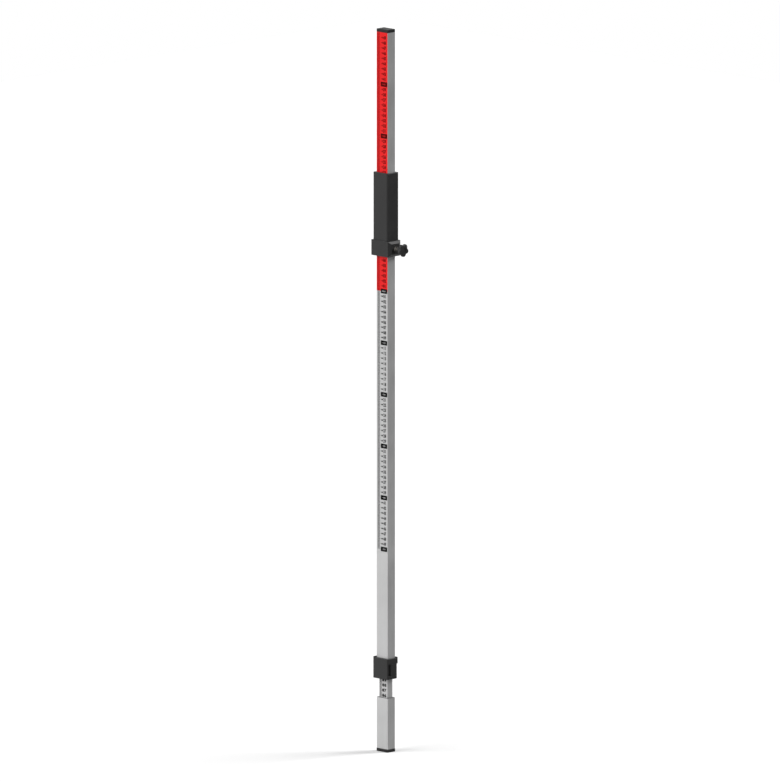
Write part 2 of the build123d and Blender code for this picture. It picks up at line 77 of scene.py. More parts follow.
def add(tree, kind, inputs=None, **settings):
    """One node with its settings; each input is a value or the socket that feeds it."""
    made = tree.nodes.new(kind)
    for name, value in settings.items():
        setattr(made, name, value)
    for name, value in (inputs or {}).items():
        if isinstance(value, bpy.types.NodeSocket):
            tree.links.new(value, made.inputs[name])
        else:
            made.inputs[name].default_value = value
    return made


def reckon(tree, operation, *terms):
    """The result of one sum."""
    return add(tree, "ShaderNodeMath", dict(enumerate(terms)), operation=operation).outputs["Value"]


def ranged(tree, value, start, end, low, high):
    """A value that runs from start to end, spread from low to high."""
    return add(tree, "ShaderNodeMapRange", {
        "Value": value, "From Min": start, "From Max": end, "To Min": low, "To Max": high}).outputs["Result"]


def blend(tree, share, one, other):
    """A colour between two, each a hex code or the socket that feeds it."""
    one, other = (linear(end) if isinstance(end, str) else end for end in (one, other))
    return add(tree, "ShaderNodeMix", {"Factor": share, 6: one, 7: other}, data_type="RGBA").outputs[2]


def noise(tree, place, grain, detail, **more):
    """Noise with grains of that size."""
    return add(tree, "ShaderNodeTexNoise", {
        "Vector": place, "Scale": 1 / grain, "Detail": detail, **more}).outputs["Fac"]


def relief(tree, height, depth):
    """The normal of a face with that relief."""
    return add(tree, "ShaderNodeBump", {"Height": height, "Distance": depth}).outputs["Normal"]


def blank_material(name):
    """A material with an empty tree; returns both."""
    material = bpy.data.materials.new(name)
    material.use_nodes = True
    material.node_tree.nodes.clear()
    return material, material.node_tree


def object_place(tree):
    """The point's place in its object, in metres."""
    return add(tree, "ShaderNodeTexCoord").outputs["Object"]


def shaded(tree, kind, inputs):
    """Ends a material with one shader."""
    shader = add(tree, kind, inputs)
    add(tree, "ShaderNodeOutputMaterial", {"Surface": shader.outputs["BSDF"]})


def moulded(name, dark, light, rubbed_and_highlit_edge, grain, gloss, shine, index):
    """Moulded plastic: a fine grain, slow drifts of tone, and edges painted paler in patches, partly as rub
    wear and partly as a painted highlight for the light their rounding catches.
    """
    material, tree = blank_material(name)
    place = object_place(tree)
    drift = noise(tree, place, 28 * mm, 3.0)
    softened = add(tree, "ShaderNodeBevel", {"Radius": 0.7 * mm}, samples=6)
    facing = add(tree, "ShaderNodeNewGeometry")
    turn = add(tree, "ShaderNodeVectorMath", {
        0: softened.outputs["Normal"], 1: facing.outputs["Normal"]}, operation="DOT_PRODUCT")
    # Edges found by the bevel normal are painted paler in patches: partly rub wear, partly a painted
    # highlight for the light that rounded edges catch.
    edge = ranged(tree, turn.outputs["Value"], 0.99, 0.8, 0.0, 1.0)
    patchy = ranged(tree, drift, 0.4, 0.65, 0.0, 0.8)
    wear_and_painted_highlight = reckon(tree, "MULTIPLY", edge, patchy)
    shaded(tree, "ShaderNodeBsdfPrincipled", {
        "Base Color": blend(tree, wear_and_painted_highlight, blend(tree, drift, dark, light), rubbed_and_highlit_edge),
        "Roughness": ranged(tree, drift, 0.3, 0.7, *gloss), "IOR": index, "Specular IOR Level": shine,
        "Normal": relief(tree, noise(tree, place, grain, 2.0, Roughness=0.6), 0.02 * mm)})
    return material


def linked(name, data):
    """A new object in the scene."""
    made = bpy.data.objects.new(name, data)
    bpy.context.scene.collection.objects.link(made)
    return made


def rounded_piece(name, mesh, material, body):
    """Shows the mesh as a piece on a body, with its rounded edges shaded round and its flats kept flat."""
    mesh.materials.clear()
    mesh.materials.append(material)
    mesh.shade_smooth()
    mesh.set_sharp_from_angle(angle=sharp_turn)
    piece = linked(name, mesh)
    flats = piece.modifiers.new("flat_faces_stay_flat", "WEIGHTED_NORMAL")
    flats.keep_sharp = True
    flats.weight = 100
    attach(piece, body)
    return piece


def smooth_piece(node, material):
    """Stands for a node with a copy of its mesh whose loose triangles are joined up."""
    solid = frame["nodes"][node]
    mesh = solid.data.copy()
    mesh.attributes.remove(mesh.attributes["custom_normal"])
    shape = bmesh.new()
    shape.from_mesh(mesh)
    bmesh.ops.remove_doubles(shape, verts=shape.verts, dist=weld)
    bmesh.ops.dissolve_limit(shape, angle_limit=flat_turn, verts=shape.verts, edges=shape.edges)
    shape.to_mesh(mesh)
    shape.free()
    piece = rounded_piece("look_" + node, mesh, material, solid["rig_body"])
    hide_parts(node)


# Black polythene: softer and darker than the clamps' plastic, with a dull waxy face. The grain of its
# mould is about 0.1 mm, drawn at 0.8 mm so that it shows.
# Its third colour is the paler tone painted on its edges, partly rub wear and partly a painted highlight.
polythene = moulded("polythene_black_moulded", "1c1c1c", "222222", "333333", 0.8 * mm, (0.5, 0.6), 0.18, 1.51)
smooth_piece("foot_cap", polythene)

# Foot tube, its bush and its rivets
# A short length of rectangular aluminium extrusion, anodised natural, with a plastic bush pressed in
# its top end. Two blind rivets through the back hold it to the inner tube.


def anodised(name, dark, light, rub):
    """Natural anodised extrusion: die lines along its length, and bright rubs where it slides in a guide."""
    material, tree = blank_material(name)
    place = object_place(tree)
    drawn = add(tree, "ShaderNodeMapping", {"Vector": place, "Scale": (1, 1, 0.01)})
    lines = noise(tree, drawn.outputs["Vector"], 0.8 * mm, 3.0, Roughness=0.6)
    both = reckon(tree, "ADD", lines, noise(tree, place, 45 * mm, 2.0))
    tone = ranged(tree, both, 0.65, 1.35, 0.0, 1.0)
    matt = ranged(tree, both, 0.65, 1.35, 0.38, 0.5)
    slid = add(tree, "ShaderNodeMapping", {"Vector": place, "Scale": (1, 1, 0.03)})
    marks = noise(tree, slid.outputs["Vector"], 1.6 * mm, 1.0)
    bright = ranged(tree, marks, 0.62, 0.7, 0.0, rub)
    shaded(tree, "ShaderNodeBsdfPrincipled", {
        "Base Color": blend(tree, bright, blend(tree, tone, dark, light), "dddddd"),
        "Roughness": reckon(tree, "MULTIPLY_ADD", bright, -0.15, matt), "Metallic": 0.5,
        "Normal": relief(tree, lines, 0.004 * mm)})
    return material


# Natural anodised aluminium: pale matt grey, half mirror and half haze, with faint lines along its
# length. They are about 0.2 mm apart, drawn at 0.8 mm so that they show.
aluminium = anodised("aluminium_anodised_natural", "b4b4b4", "bebebe", 0.0)
smooth_piece("foot_tube", aluminium)
# Acetal: smooth moulded plastic, near black, with a waxy sheen and almost no grain.
# Its third colour is the paler tone painted on its edges, partly rub wear and partly a painted highlight.
acetal = moulded("acetal_black", "242424", "2a2a2a", "363636", 1.2 * mm, (0.34, 0.44), 0.35, 1.48)
smooth_piece("foot_bush", acetal)
# The bush's moulded lip, a thin black ring that lies on the foot tube's sawn end.
lip_low, lip_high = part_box("foot_tube")
hole_low, hole_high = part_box("inner_tube")
lip_inset, lip_clear, lip_height, lip_corner = 0.2 * mm, 0.3 * mm, 0.4 * mm, 0.5 * mm
shape = bmesh.new()
loops = []
for low, high, grow in ((lip_low, lip_high, -lip_inset), (hole_low, hole_high, lip_clear)):
    for z in (lip_high.z, lip_high.z + lip_height):
        loops.append([shape.verts.new((x, y, z)) for x, y in (
            (low.x - grow, low.y - grow), (high.x + grow, low.y - grow),
            (high.x + grow, high.y + grow), (low.x - grow, high.y + grow))])
outer_foot, outer_top, inner_foot, inner_top = loops
for one, other in ((outer_foot, outer_top), (outer_top, inner_top), (inner_top, inner_foot),
                   (inner_foot, outer_foot)):
    for i in range(len(one)):
        shape.faces.new((one[i], one[i - 1], other[i - 1], other[i]))
bmesh.ops.recalc_face_normals(shape, faces=shape.faces)
uprights = [e for e in shape.edges if e.verts[0].co.xy == e.verts[1].co.xy]
bmesh.ops.bevel(shape, geom=uprights, offset=lip_corner, segments=4, affect="EDGES")
lip_mesh = bpy.data.meshes.new("bush_lip")
shape.to_mesh(lip_mesh)
shape.free()
rounded_piece("bush_lip", lip_mesh, acetal, "foot_section")
# Bare aluminium: bright, with the fine dents of the setting tool, about 0.4 mm across.
rivet_metal, tree = blank_material("aluminium_bare_set")
dents = add(tree, "ShaderNodeTexVoronoi", {"Vector": object_place(tree), "Scale": 1 / (0.4 * mm)})
dented = dents.outputs["Distance"]
shaded(tree, "ShaderNodeBsdfPrincipled", {
    "Base Color": blend(tree, dented, "a8a8a8", "cfcfcf"),
    "Roughness": ranged(tree, dented, 0, 1, 0.26, 0.42), "Metallic": 0.9,
    "Normal": relief(tree, dented, 0.02 * mm)})
smooth_piece("foot_rivets", rivet_metal)

# Inner tube and its upper guide
# The telescopic section, a smaller anodised extrusion that runs up inside the staff.
# A moulded acetal guide is pushed on its top end and slides in the outer tube.

# The same anodised metal, brightened in long thin rubs by the guide bush that it slides in.
slid_aluminium = anodised("aluminium_anodised_slid", "b4b4b4", "bebebe", 0.55)
smooth_piece("inner_tube", slid_aluminium)
smooth_piece("upper_guide", acetal)

# Scale on the inner tube
# A silver polyester film glued to the front, screen printed in black: a line for each millimetre and
# a figure for each centimetre, read at the clamp's lower edge.


def film(name, dark, light):
    """Printed polyester film: an even colour under a satin face with a slight orange peel and fine scuffs."""
    material, tree = blank_material(name)
    place = object_place(tree)
    scuffs = noise(tree, place, 5 * mm, 4.0, Distortion=1.5)
    shaded(tree, "ShaderNodeBsdfPrincipled", {
        "Base Color": blend(tree, noise(tree, place, 40 * mm, 3.0), dark, light),
        "Roughness": ranged(tree, scuffs, 0.35, 0.7, 0.36, 0.5), "Specular IOR Level": 0.2,
        "Normal": relief(tree, noise(tree, place, 1.5 * mm, 1.0), 0.004 * mm)})
    return material


# Silver film: a pale grey, a little lighter and much more even than the metal beside it.
silver_film = film("polyester_film_silver", "c2c2c2", "cacaca")
smooth_piece("inner_scale", silver_film)


def screen_ink(name, dense, thin):
    """Dried screen ink: matt, with the weave of the screen in its face."""
    material, tree = blank_material(name)
    weave = add(tree, "ShaderNodeTexWave", {
        "Vector": object_place(tree), "Scale": 1 / (math.pi * mm)}, bands_direction="Z").outputs["Fac"]
    shaded(tree, "ShaderNodeBsdfPrincipled", {
        "Base Color": blend(tree, weave, dense, thin), "Roughness": ranged(tree, weave, 0, 1, 0.55, 0.65),
        "Specular IOR Level": 0.04})
    return material


# Black screen ink: dense and matt. The screen's mesh is about 0.1 mm, drawn at about 1 mm so that it
# shows. The ink stands out of the film by its thickness, and its plates are sunk a little into it.
black_ink = screen_ink("screen_ink_black", "080808", "0f0f0f")
ink, sunk = 0.04 * mm, 0.02 * mm
line_stroke = 0.48 * mm
lines_each_figure, figures_each_field = 10, 10


def tree_with(name, sockets):
    """An empty geometry tree with named inputs; returns it, its input node and the inputs' identifiers."""
    tree = bpy.data.node_groups.new(name, "GeometryNodeTree")
    keys = {}
    for label, kind in sockets.items():
        keys[label] = tree.interface.new_socket(label, in_out="INPUT", socket_type=kind).identifier
    tree.interface.new_socket("Geometry", in_out="OUTPUT", socket_type="NodeSocketGeometry")
    return tree, add(tree, "NodeGroupInput"), keys


def made_real(tree, geometry, material):
    """Ends a tree: its copies become one mesh of that material."""
    real = add(tree, "GeometryNodeRealizeInstances", {"Geometry": geometry})
    dressed = add(tree, "GeometryNodeSetMaterial", {
        "Geometry": real.outputs["Geometry"], "Material": material})
    add(tree, "NodeGroupOutput", {"Geometry": dressed.outputs["Geometry"]})


def grown_piece(name, mesh, tree, keys, values, body):
    """Runs the tree on the mesh and keeps its result as a plain mesh that rides on the body."""
    source = linked(name + "_source", mesh)
    growth = source.modifiers.new(tree.name, "NODES")
    growth.node_group = tree
    for label, value in values.items():
        growth[keys[label]] = value
    graph = bpy.context.evaluated_depsgraph_get()
    plain = bpy.data.meshes.new_from_object(source.evaluated_get(graph))
    source.modifiers.remove(growth)
    bpy.data.objects.remove(source)
    plain.name = name
    piece = linked(name, plain)
    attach(piece, body)
    return piece


# The lines: every fifth is longer than the rest, and every tenth longer still.
ruler, given, ruler_keys = tree_with("ruled_lines", {
    "Start": "NodeSocketVector", "Lines": "NodeSocketInt", "First": "NodeSocketInt",
    "Pitch": "NodeSocketFloat", "Stroke": "NodeSocketFloat", "Proud": "NodeSocketFloat",
    "Short": "NodeSocketFloat", "Half": "NodeSocketFloat", "Long": "NodeSocketFloat",
    "Ink": "NodeSocketMaterial"})
step = add(ruler, "ShaderNodeCombineXYZ", {"Z": given.outputs["Pitch"]})
points = add(ruler, "GeometryNodeMeshLine", {
    "Count": given.outputs["Lines"], "Start Location": given.outputs["Start"],
    "Offset": step.outputs["Vector"]})
order = add(ruler, "GeometryNodeInputIndex")
number = add(ruler, "FunctionNodeIntegerMath", {0: order.outputs["Index"], 1: given.outputs["First"]})
length = given.outputs["Short"]
for every, longer in ((lines_each_figure // 2, "Half"), (lines_each_figure, "Long")):
    rest = add(ruler, "FunctionNodeIntegerMath", {
        0: number.outputs["Value"], 1: every}, operation="MODULO")
    whole = add(ruler, "FunctionNodeCompare", {
        2: rest.outputs["Value"], 3: 0}, data_type="INT", operation="EQUAL")
    length = add(ruler, "GeometryNodeSwitch", {
        "Switch": whole.outputs["Result"], "False": length, "True": given.outputs[longer]},
        input_type="FLOAT").outputs["Output"]
size = add(ruler, "ShaderNodeCombineXYZ", {
    "X": length, "Y": given.outputs["Proud"], "Z": given.outputs["Stroke"]})
stroke = add(ruler, "GeometryNodeMeshCube", {"Size": (1, 1, 1)})
from_left = add(ruler, "GeometryNodeTransform", {
    "Geometry": stroke.outputs["Mesh"], "Translation": (0.5, 0, 0)})
strokes = add(ruler, "GeometryNodeInstanceOnPoints", {
    "Points": points.outputs["Mesh"], "Instance": from_left.outputs["Geometry"],
    "Scale": size.outputs["Vector"]})
made_real(ruler, strokes.outputs["Instances"], given.outputs["Ink"])


def ticks(name, left, face, start, pitch, first, lines, lengths, stroke, material, body):
    """Rules short, half and long lines on a front face at y, from the height start on and from the left."""
    short, half, long = lengths
    values = {"Start": (left, face - ink / 2 + sunk / 2, start), "Pitch": pitch, "First": first,
              "Lines": lines, "Short": short, "Half": half, "Long": long, "Stroke": stroke,
              "Proud": ink + sunk, "Ink": material}
    grown_piece(name, bpy.data.meshes.new(name), ruler, ruler_keys, values, body)


# The figures: one thin plate of ink for each digit and sign, picked for each point by its number.
plus_minus = "\u00b1"
signs = "0123456789-+" + plus_minus
font_size = 10 * mm
bold_swell, fine_swell = 0.55 * mm, 0.1 * mm


def glyph_mesh(sign, swell):
    """A digit or sign as a thin closed plate, standing up and facing the reader."""
    letter = bpy.data.curves.new("sign", "FONT")
    letter.body = sign
    letter.size = font_size
    letter.offset = swell
    letter.extrude = (ink + sunk) / 2
    letter.resolution_u = 4
    holder = linked("sign", letter)
    graph = bpy.context.evaluated_depsgraph_get()
    mesh = bpy.data.meshes.new_from_object(holder.evaluated_get(graph))
    bpy.data.objects.remove(holder)
    bpy.data.curves.remove(letter)
    shape = bmesh.new()
    shape.from_mesh(mesh)
    bmesh.ops.remove_doubles(shape, verts=shape.verts, dist=weld)
    for v in shape.verts:
        v.co = Vector((v.co.x, -v.co.z, v.co.y))
    bmesh.ops.recalc_face_normals(shape, faces=shape.faces)
    shape.to_mesh(mesh)
    shape.free()
    mesh.materials.clear()
    return mesh


def mesh_box(mesh):
    """Lowest and highest corner of a mesh."""
    corners = [v.co for v in mesh.vertices]
    return [Vector(map(pick, zip(*corners))) for pick in (min, max)]


def glyph_kit(name, swell):
    """All digits and signs in one weight, the nought one wide and one high and no digit wider."""
    kit = bpy.data.collections.new(name)
    meshes = [glyph_mesh(sign, swell) for sign in signs]
    zero_low, zero_high = mesh_box(meshes[0])
    nought = zero_high - zero_low
    for i, mesh in enumerate(meshes):
        low, high = mesh_box(mesh)
        middle = (low + high) / 2
        span = max(nought.x, high.x - low.x) if signs[i].isdigit() else nought.x
        for v in mesh.vertices:
            v.co = Vector(((v.co.x - middle.x) / span, v.co.y, (v.co.z - middle.z) / nought.z))
        kit.objects.link(bpy.data.objects.new(f"{name}_{i:02d}", mesh))
    return kit


bold_figures = glyph_kit("bold_figures", bold_swell)
fine_figures = glyph_kit("fine_figures", fine_swell)

printer, given, printer_keys = tree_with("printed_figures", {
    "Points": "NodeSocketGeometry", "Glyphs": "NodeSocketCollection", "Digit width": "NodeSocketFloat",
    "Digit height": "NodeSocketFloat", "Ink": "NodeSocketMaterial"})
kit = add(printer, "GeometryNodeCollectionInfo", {
    "Collection": given.outputs["Glyphs"], "Separate Children": True, "Reset Children": True})
choice = add(printer, "GeometryNodeInputNamedAttribute", {"Name": "glyph"}, data_type="INT")
size = add(printer, "ShaderNodeCombineXYZ", {
    "X": given.outputs["Digit width"], "Y": 1.0, "Z": given.outputs["Digit height"]})
placed = add(printer, "GeometryNodeInstanceOnPoints", {
    "Points": given.outputs["Points"], "Instance": kit.outputs["Instances"], "Pick Instance": True,
    "Instance Index": choice.outputs["Attribute"], "Scale": size.outputs["Vector"]})
made_real(printer, placed.outputs["Instances"], given.outputs["Ink"])


def figures(name, rows, kit, width, height, pitch, face, material, body):
    """Prints rows of (text, middle x, z) on a front face at y, noughts of that size at that pitch."""
    places, picks = [], []
    for text, x, z in rows:
        left = x - (len(text) - 1) * pitch / 2
        for i, sign in enumerate(text):
            places.append((left + i * pitch, face - ink / 2 + sunk / 2, z))
            picks.append(signs.index(sign))
    mesh = bpy.data.meshes.new(name)
    mesh.from_pydata(places, [], [])
    picked = mesh.attributes.new("glyph", "INT", "POINT")
    picked.data.foreach_set("value", picks)
    values = {"Glyphs": kit, "Digit width": width, "Digit height": height, "Ink": material}
    grown_piece(name, mesh, printer, printer_keys, values, body)


# The reading at a height is the height and this offset.
read_offset = 750.5 * mm
tube_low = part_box("inner_tube")[0]
film_low, film_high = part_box("inner_scale")
first_line = math.ceil((film_low.z + read_offset) / mm + 0.5)
last_line = math.floor((film_high.z + read_offset) / mm - 0.5)
inner_left, inner_middle = tube_low.x + 1.9 * mm, tube_low.x + 14.1 * mm
inner_lengths = 5.2 * mm, 5.8 * mm, 6.6 * mm
ticks("inner_ticks", inner_left, film_low.y, first_line * mm - read_offset, mm, first_line,
      last_line - first_line + 1, inner_lengths, line_stroke, black_ink, "foot_section")
inner_rows = []
for count in range(first_line // lines_each_figure + 1, last_line // lines_each_figure + 1):
    inner_rows.append((str(count), inner_middle, count * lines_each_figure * mm - read_offset))
inner_height = 6.2 * mm
for name, digits, width, pitch in (("inner_figures_two", 2, 5.5 * mm, 5.7 * mm),
                                   ("inner_figures_three", 3, 3.6 * mm, 3.8 * mm)):
    figures(name, [row for row in inner_rows if len(row[0]) == digits], bold_figures, width, inner_height,
            pitch, film_low.y, black_ink, "foot_section")

# Outer tube
# The staff's main section, a rectangular aluminium extrusion, anodised natural, sawn square at both
# ends. It stands in the clamp housing's ring.
smooth_piece("outer_tube", aluminium)

# Scale films on the outer tube
# Two polyester films glued end to end on the front, the upper one red and the lower one silver.
# They meet at the zero line.

# Red film: a full red with the silver film's satin face.
red_film = film("polyester_film_red", "e8191b", "f01c1e")
smooth_piece("plus_scale", red_film)
smooth_piece("minus_scale", silver_film)

# Print on the outer tube's films
# Black screen ink: a line for each millimetre at the left edge, a sign and two digits for each
# centimetre, and a black field with open figures for each ten.

# The same black ink on the red film, thin enough for some red to show through it.
ink_on_red = screen_ink("screen_ink_black_on_red", "4a0404", "560505")
thin_stroke = 0.84 * line_stroke
red_low, red_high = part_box("plus_scale")
outer_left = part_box("outer_tube")[0].x
zero_line = red_low.z
half_lines = round((red_high.z - red_low.z) / mm)
face = red_low.y
plus_left, plus_lengths = outer_left + 1.8 * mm, (6.6 * mm, 7.2 * mm, 8.2 * mm)
minus_left, minus_lengths = outer_left + 3.2 * mm, (6.0 * mm, 6.6 * mm, 7.6 * mm)
ticks("plus_ticks", plus_left, face, zero_line, mm, 0, half_lines, plus_lengths, thin_stroke, ink_on_red,
      "main_section")
ticks("minus_ticks", minus_left, face, zero_line - mm, -mm, 1, half_lines, minus_lengths, line_stroke,
      black_ink, "main_section")
field_middle = outer_left + 20.1 * mm
field_text_middle = field_middle - 0.9 * mm
plus_sign_middle, plus_digits_middle = outer_left + 15.5 * mm, outer_left + 21.7 * mm
minus_sign_middle, minus_digits_middle = outer_left + 15.3 * mm, outer_left + 22.2 * mm
plus_rows, minus_rows, plus_tens, minus_tens = [], [], [], []
for count in range(1, half_lines // lines_each_figure):
    off_zero = count * lines_each_figure * mm
    if count % figures_each_field:
        plus_rows.append((f"{count:02d}", plus_digits_middle, zero_line + off_zero))
        minus_rows.append((f"{count:02d}", minus_digits_middle, zero_line - off_zero))
    else:
        plus_tens.append((f"+{count}", field_text_middle, zero_line + off_zero))
        minus_tens.append((f"-{count}", field_text_middle, zero_line - off_zero))
minus_tens.append((f"-{half_lines // lines_each_figure}", field_text_middle, zero_line - half_lines * mm))
minus_tens.append((plus_minus + "00", field_text_middle, zero_line))
digit_width, digit_height, digit_pitch = 3.5 * mm, 6.8 * mm, 3.75 * mm
for name, rows, sign, sign_middle, kit, width, height, print_ink, slot in (
        ("plus", plus_rows, "+", plus_sign_middle, fine_figures, 4.2 * mm, 6.2 * mm, ink_on_red, "red_film"),
        ("minus", minus_rows, "-", minus_sign_middle, bold_figures, 7.0 * mm, 9.9 * mm, black_ink,
         "silver_film")):
    figures(name + "_figures", rows, bold_figures, digit_width, digit_height, digit_pitch, face, print_ink,
            "main_section")
    figures(name + "_signs", [(sign, sign_middle, z) for _, _, z in rows], kit, width, height, 0, face,
            print_ink, "main_section")

# The fields: one flat block of ink for each point, with rounded corners.
blocks, given, block_keys = tree_with("printed_fields", {
    "Points": "NodeSocketGeometry", "Width": "NodeSocketFloat", "Height": "NodeSocketFloat",
    "Corner": "NodeSocketFloat", "Proud": "NodeSocketFloat", "Ink": "NodeSocketMaterial"})
outline = add(blocks, "GeometryNodeCurvePrimitiveQuadrilateral", {
    "Width": given.outputs["Width"], "Height": given.outputs["Height"]})
rounded = add(blocks, "GeometryNodeFilletCurve", {
    "Curve": outline.outputs["Curve"], "Count": 4, "Radius": given.outputs["Corner"]}, mode="POLY")
sheet = add(blocks, "GeometryNodeFillCurve", {"Curve": rounded.outputs["Curve"]}, mode="NGONS")
raised = add(blocks, "GeometryNodeExtrudeMesh", {
    "Mesh": sheet.outputs["Mesh"], "Offset Scale": given.outputs["Proud"], "Individual": False})
under = add(blocks, "GeometryNodeFlipFaces", {"Mesh": sheet.outputs["Mesh"]})
halves = add(blocks, "GeometryNodeJoinGeometry", {"Geometry": raised.outputs["Mesh"]})
blocks.links.new(under.outputs["Mesh"], halves.inputs["Geometry"])
closed = add(blocks, "GeometryNodeMergeByDistance", {
    "Geometry": halves.outputs["Geometry"], "Distance": weld})
upright = add(blocks, "GeometryNodeTransform", {
    "Geometry": closed.outputs["Geometry"], "Rotation": (math.radians(90), 0, 0)})
placed = add(blocks, "GeometryNodeInstanceOnPoints", {
    "Points": given.outputs["Points"], "Instance": upright.outputs["Geometry"]})
made_real(blocks, placed.outputs["Instances"], given.outputs["Ink"])
field_width, field_height, field_corner = 17.2 * mm, 9.0 * mm, 1.2 * mm
for name, rows, print_ink, slot in (
        ("plus_fields", plus_tens, ink_on_red, "red_film"),
        ("minus_fields", minus_tens, black_ink, "silver_film")):
    mesh = bpy.data.meshes.new(name)
    mesh.from_pydata([(field_middle, face + sunk, z) for _, _, z in rows], [], [])
    grown_piece(name, mesh, blocks, block_keys, {
        "Width": field_width, "Height": field_height, "Corner": field_corner, "Proud": ink + sunk,
        "Ink": print_ink}, "main_section")
open_width, open_height, open_pitch = 2.3 * mm, 3.0 * mm, 3.3 * mm
figures("plus_field_figures", plus_tens, fine_figures, open_width, open_height, open_pitch, face - ink,
        red_film, "main_section")
figures("minus_field_figures", minus_tens, fine_figures, open_width, open_height, open_pitch, face - ink,
        silver_film, "main_section")

# Top cap
# A flush cap of black polythene with softened edges, moulded like the foot cap.
# Its plug is pushed into the tube's top end.
smooth_piece("top_cap", polythene)

# Clamp housing, its bush, screws and lever pin
# The moulded lower clamp: its ring holds the outer tube, its bush guides the inner tube, and its right
# side is open for the lever. Two countersunk screws at the back and a steel pin hold it together.

# Black ABS from a spark-eroded mould: an even matt black with a soft sheen. Its edges are painted a little
# paler in patches, partly as rub wear and partly as a painted highlight. The grain is about 0.1 mm, drawn at
# 0.6 mm so that it shows.
black_abs = moulded("abs_black_spark_eroded", "272727", "2d2d2d", "454545", 0.6 * mm, (0.46, 0.54), 0.2, 1.54)
smooth_piece("clamp_housing", black_abs)
# The upstand of its ring, in one with it: the left and back walls stand higher round the tube, with
# softened edges and a rounded nose at each end.
ring_low, ring_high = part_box("clamp_housing")
staff_low, staff_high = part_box("outer_tube")
upstand_height, upstand_root, upstand_inset = 1.7 * mm, 1.0 * mm, 0.05 * mm
upstand_edge, upstand_nose, ring_corner, staff_clear = 0.7 * mm, 1.0 * mm, 2.2 * mm, 0.2 * mm
edge_turns, wall_step = (0, 22.5, 45, 67.5, 90), 9
bend = ring_corner + upstand_inset
walls = []
for x, y, first, last in (
        (ring_low.x + bend, ring_low.y + bend, 225, 180), (ring_low.x + bend, ring_high.y - bend, 180, 90),
        (ring_high.x - bend, ring_high.y - bend, 90, 45)):
    for turn in range(first, last - 1, -wall_step):
        turned = math.radians(turn)
        outer = Vector((x + ring_corner * math.cos(turned), y + ring_corner * math.sin(turned)))
        inner = Vector((max(outer.x, staff_low.x - staff_clear), min(outer.y, staff_high.y + staff_clear)))
        walls.append((outer, inner))
shape = bmesh.new()
sections = []
for outer, inner in walls:
    from_end = min((outer - walls[0][0]).length, (outer - walls[-1][0]).length, upstand_nose)
    nose_rise = math.sqrt(upstand_nose ** 2 - (upstand_nose - from_end) ** 2)
    crest = ring_high.z + upstand_height - upstand_nose + nose_rise
    inwards = (inner - outer).normalized() * upstand_edge
    profile = [(outer, ring_high.z - upstand_root)]
    for side, way, turns in ((outer, inwards, edge_turns), (inner, -inwards, edge_turns[::-1])):
        for turn in turns:
            rise = math.radians(turn)
            profile.append((side + way * (1 - math.cos(rise)), crest - upstand_edge * (1 - math.sin(rise))))
    profile.append((inner, ring_high.z - upstand_root))
    sections.append([shape.verts.new((*spot, z)) for spot, z in profile])
for one, other in zip(sections, sections[1:]):
    for i in range(len(one)):
        shape.faces.new((one[i - 1], one[i], other[i], other[i - 1]))
shape.faces.new(sections[0])
shape.faces.new(sections[-1])
bmesh.ops.remove_doubles(shape, verts=shape.verts, dist=weld)
bmesh.ops.recalc_face_normals(shape, faces=shape.faces)
upstand_mesh = bpy.data.meshes.new("ring_upstand")
shape.to_mesh(upstand_mesh)
shape.free()
rounded_piece("ring_upstand", upstand_mesh, black_abs, "main_section")
smooth_piece("guide_bush", acetal)
# Zinc-plated steel: a warm mid grey with a faint cloudy bloom about 3 mm across.
zinc_steel, tree = blank_material("steel_zinc_plated")
cloud = noise(tree, object_place(tree), 3 * mm, 2.0)
shaded(tree, "ShaderNodeBsdfPrincipled", {
    "Base Color": blend(tree, cloud, "86837d", "a19e98"),
    "Roughness": ranged(tree, cloud, 0.3, 0.7, 0.28, 0.38), "Metallic": 0.95,
    "Normal": relief(tree, cloud, 0.002 * mm)})
smooth_piece("clamp_screws", zinc_steel)
smooth_piece("lever_pin", zinc_steel)

# Lock lever
# A flush lever of black ABS that wraps round the clamp's back corner.
# It turns on the steel pin, and its cam presses the brake.
smooth_piece("lock_lever", black_abs)

# Brake shoe and its pad
# An acetal shoe in the clamp's window, pushed against the inner tube by the cam.
# A rubber pad is glued to its face.
smooth_piece("brake_shoe", acetal)
# Black rubber: dull, with a ground face of about 0.4 mm.
rubber, tree = blank_material("rubber_black_ground")
ground = noise(tree, object_place(tree), 0.4 * mm, 2.0)
shaded(tree, "ShaderNodeBsdfPrincipled", {
    "Base Color": blend(tree, ground, "191919", "242424"), "Roughness": 0.8, "Specular IOR Level": 0.25,
    "Normal": relief(tree, ground, 0.03 * mm)})
smooth_piece("brake_pad", rubber)

# Receiver carriage
# A thick moulded sleeve that the receiver clamps on, with a spigot in the clamp collar below it.
# Two countersunk screws at the back join the two.
smooth_piece("carriage_sleeve", black_abs)
smooth_piece("clamp_collar", black_abs)
smooth_piece("collar_screws", zinc_steel)

# Threaded bush and pressure pad
# A zinc-plated steel bush pressed into the collar's boss, and the acetal pad that the stud pushes
# against the tube.
smooth_piece("thread_bush", zinc_steel)
smooth_piece("pressure_pad", acetal)

# Clamp stud
# A zinc-plated M6 stud with a rolled thread of 1 mm pitch and a plain tip that sits in the pad.
# Its other end is moulded into the knob.
thread, given, thread_keys = tree_with("rolled_thread", {
    "Start": "NodeSocketVector", "Length": "NodeSocketFloat", "Radius": "NodeSocketFloat",
    "Tip length": "NodeSocketFloat", "Tip radius": "NodeSocketFloat", "Pitch": "NodeSocketFloat",
    "Depth": "NodeSocketFloat", "Around": "NodeSocketInt", "Rows": "NodeSocketInt",
    "Metal": "NodeSocketMaterial"})
